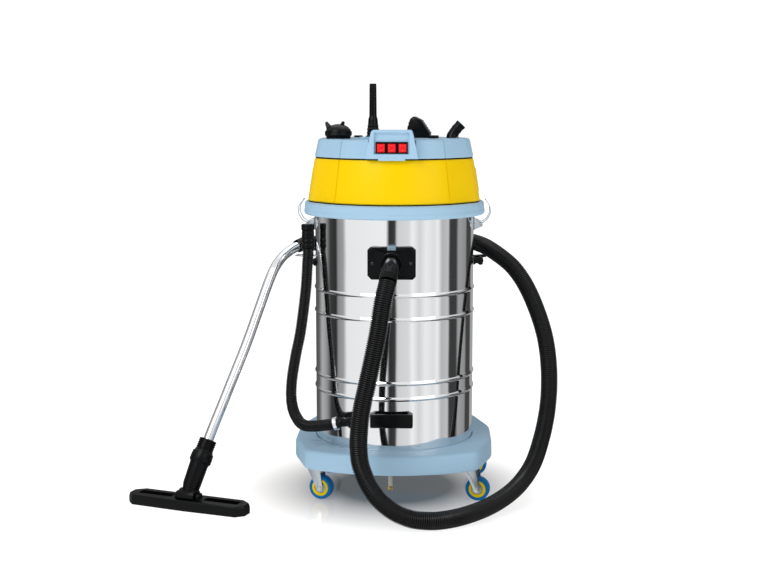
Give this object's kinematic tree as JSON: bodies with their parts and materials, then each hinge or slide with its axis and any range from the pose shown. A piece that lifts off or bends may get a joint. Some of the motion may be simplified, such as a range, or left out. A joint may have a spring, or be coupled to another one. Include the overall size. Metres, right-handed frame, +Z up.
{
  "type": "wheeled industrial wet and dry vacuum cleaner",
  "caption": "Wheeled wet and dry drum vacuum with steel drum, clamped motor head, rocker switches, suction hose, bent wand, floor tool, drain hose and small tools",
  "frame": {"origin": "On the floor under the drum's vertical axis, between the four castors", "axes": "+Z is up, -Y is the front with the inlet and the switches, +X is the machine's side that the suction hose loops out from"},
  "size_m": [1.1763, 0.7515, 1.1373],
  "materials": {
    "pale_blue": "moulded plastic, satin gloss",
    "yellow": "moulded plastic, satin gloss",
    "stainless": "polished stainless steel sheet",
    "chrome": "chrome plate",
    "zinc": "bright zinc plate",
    "black_moulding": "black moulded plastic",
    "black_rubber": "flexible black hose and seal rubber",
    "grey_blue": "grey-blue moulded plastic",
    "red": "translucent red rocker",
    "white": "white moulded plastic",
    "cloth": "woven filter cloth",
    "motor_metal": "die-cast motor casing",
    "strap": "conducting strap",
    "wheel_yellow": "yellow wheel centre",
    "wheel_blue": "blue elastic tread"
  },
  "bodies": {
    "chassis": {"base": "pale_blue", "earth_strap": "strap", "drum": "stainless", "inlet_plate": "black_moulding", "drum_handle": "black_moulding", "peg_right": "black_moulding", "peg_left": "black_moulding", "hose_hook": "black_moulding", "wand_hook": "chrome", "latch_catch_left": "zinc", "latch_catch_right": "zinc", "drain_spigot": "black_moulding", "drain_hose": "black_rubber", "drain_clamp": "chrome", "drain_cuff": "black_moulding", "hose_cuff_inlet": "black_moulding", "suction_hose": "black_rubber", "hose_cuff_wand": "black_moulding", "wand": "chrome", "tool_neck": "black_moulding", "castor_plate_front_left": "zinc", "castor_plate_front_right": "zinc", "castor_plate_rear_left": "zinc", "castor_plate_rear_right": "zinc"},
    "head": {"head_ring": "pale_blue", "drum_seal": "black_rubber", "motor_1": "motor_metal", "motor_2": "motor_metal", "motor_3": "motor_metal", "motor_housing": "yellow", "head_cover": "pale_blue", "switch_panel": "pale_blue", "switch_frame": "black_moulding", "float_cage": "white", "filter_bag": "cloth"},
    "castor_front_left": {"castor_fork_front_left": "zinc"},
    "wheel_front_left": {"castor_rim_front_left": "wheel_yellow", "castor_tyre_front_left": "wheel_blue"},
    "castor_front_right": {"castor_fork_front_right": "zinc"},
    "wheel_front_right": {"castor_rim_front_right": "wheel_yellow", "castor_tyre_front_right": "wheel_blue"},
    "castor_rear_left": {"castor_fork_rear_left": "zinc"},
    "wheel_rear_left": {"castor_rim_rear_left": "wheel_yellow", "castor_tyre_rear_left": "wheel_blue"},
    "castor_rear_right": {"castor_fork_rear_right": "zinc"},
    "wheel_rear_right": {"castor_rim_rear_right": "wheel_yellow", "castor_tyre_rear_right": "wheel_blue"},
    "rocker_1": {"rocker_1": "red"},
    "rocker_2": {"rocker_2": "red"},
    "rocker_3": {"rocker_3": "red"},
    "float": {"float_ball": "white"},
    "crevice_nozzle_loose": {"crevice_nozzle": "black_moulding"},
    "round_brush_loose": {"round_brush": "black_moulding"},
    "upholstery_nozzle_loose": {"upholstery_nozzle": "black_moulding"},
    "elbow_adapter_loose": {"elbow_adapter": "black_moulding"},
    "bail_left": {"latch_bail_left": "chrome"},
    "bail_right": {"latch_bail_right": "chrome"},
    "inlet_button": {"inlet_latch": "grey_blue"},
    "drain_plug_loose": {"drain_plug": "black_moulding"},
    "floor_head": {"floor_tool": "black_moulding"}
  },
  "joints": [
    {"name": "swivel_front_left", "type": "hinge", "parent": "chassis", "child": "castor_front_left", "pos_m": [-0.215, -0.127, 0.095], "axis": [0, 0, 1], "continuous": true},
    {"name": "roll_front_left", "type": "hinge", "parent": "castor_front_left", "child": "wheel_front_left", "pos_m": [-0.19598, -0.13318, 0.033], "axis": [0.309, 0.9511, 0], "continuous": true},
    {"name": "swivel_front_right", "type": "hinge", "parent": "chassis", "child": "castor_front_right", "pos_m": [0.215, -0.127, 0.095], "axis": [0, 0, 1], "continuous": true},
    {"name": "roll_front_right", "type": "hinge", "parent": "castor_front_right", "child": "wheel_front_right", "pos_m": [0.23456, -0.13116, 0.033], "axis": [0.2079, 0.9781, 0], "continuous": true},
    {"name": "swivel_rear_left", "type": "hinge", "parent": "chassis", "child": "castor_rear_left", "pos_m": [-0.215, 0.127, 0.095], "axis": [0, 0, 1], "continuous": true},
    {"name": "roll_rear_left", "type": "hinge", "parent": "castor_rear_left", "child": "wheel_rear_left", "pos_m": [-0.19544, 0.13116, 0.033], "axis": [-0.2079, 0.9781, 0], "continuous": true},
    {"name": "swivel_rear_right", "type": "hinge", "parent": "chassis", "child": "castor_rear_right", "pos_m": [0.215, 0.127, 0.095], "axis": [0, 0, 1], "continuous": true},
    {"name": "roll_rear_right", "type": "hinge", "parent": "castor_rear_right", "child": "wheel_rear_right", "pos_m": [0.23492, 0.12526, 0.033], "axis": [0.0872, 0.9962, 0], "continuous": true},
    {"name": "head_lift", "type": "slide", "parent": "chassis", "child": "head", "axis": [0, 0, 1], "range_m": [0, 0.35]},
    {"name": "rocker_1_tilt", "type": "hinge", "parent": "head", "child": "rocker_1", "pos_m": [-0.0282, -0.221, 0.9675], "axis": [1, 0, 0], "range_deg": [-16, 0]},
    {"name": "rocker_2_tilt", "type": "hinge", "parent": "head", "child": "rocker_2", "pos_m": [0, -0.221, 0.9675], "axis": [1, 0, 0], "range_deg": [-16, 0]},
    {"name": "rocker_3_tilt", "type": "hinge", "parent": "head", "child": "rocker_3", "pos_m": [0.0282, -0.221, 0.9675], "axis": [1, 0, 0], "range_deg": [-16, 0]},
    {"name": "float_rise", "type": "slide", "parent": "head", "child": "float", "axis": [0, 0, 1], "range_m": [0, 0.04]},
    {"name": "crevice_lift", "type": "slide", "parent": "head", "child": "crevice_nozzle_loose", "axis": [0, 0, 1], "range_m": [0, 0.06]},
    {"name": "brush_lift", "type": "slide", "parent": "head", "child": "round_brush_loose", "axis": [0, 0, 1], "range_m": [0, 0.06]},
    {"name": "upholstery_lift", "type": "slide", "parent": "head", "child": "upholstery_nozzle_loose", "axis": [0, 0, 1], "range_m": [0, 0.06]},
    {"name": "adapter_lift", "type": "slide", "parent": "head", "child": "elbow_adapter_loose", "axis": [0, 0, 1], "range_m": [0, 0.06]},
    {"name": "bail_left_swing", "type": "hinge", "parent": "chassis", "child": "bail_left", "pos_m": [-0.238, 0, 0.752], "axis": [0, -1, 0], "range_deg": [0, 110]},
    {"name": "bail_right_swing", "type": "hinge", "parent": "chassis", "child": "bail_right", "pos_m": [0.238, 0, 0.752], "axis": [0, 1, 0], "range_deg": [0, 110]},
    {"name": "inlet_latch_press", "type": "slide", "parent": "chassis", "child": "inlet_button", "axis": [0, 1, 0], "range_m": [0, 0.003], "stiffness_N_per_m": 600, "springref_m": -0.001},
    {"name": "drain_plug_pull", "type": "slide", "parent": "chassis", "child": "drain_plug_loose", "axis": [0, 0, 1], "range_m": [0, 0.021]},
    {"name": "floor_tool_rock", "type": "hinge", "parent": "chassis", "child": "floor_head", "pos_m": [-0.5475, -0.2319, 0.031], "axis": [0.9426, -0.3338, 0], "range_deg": [-25, 25]}
  ]
}
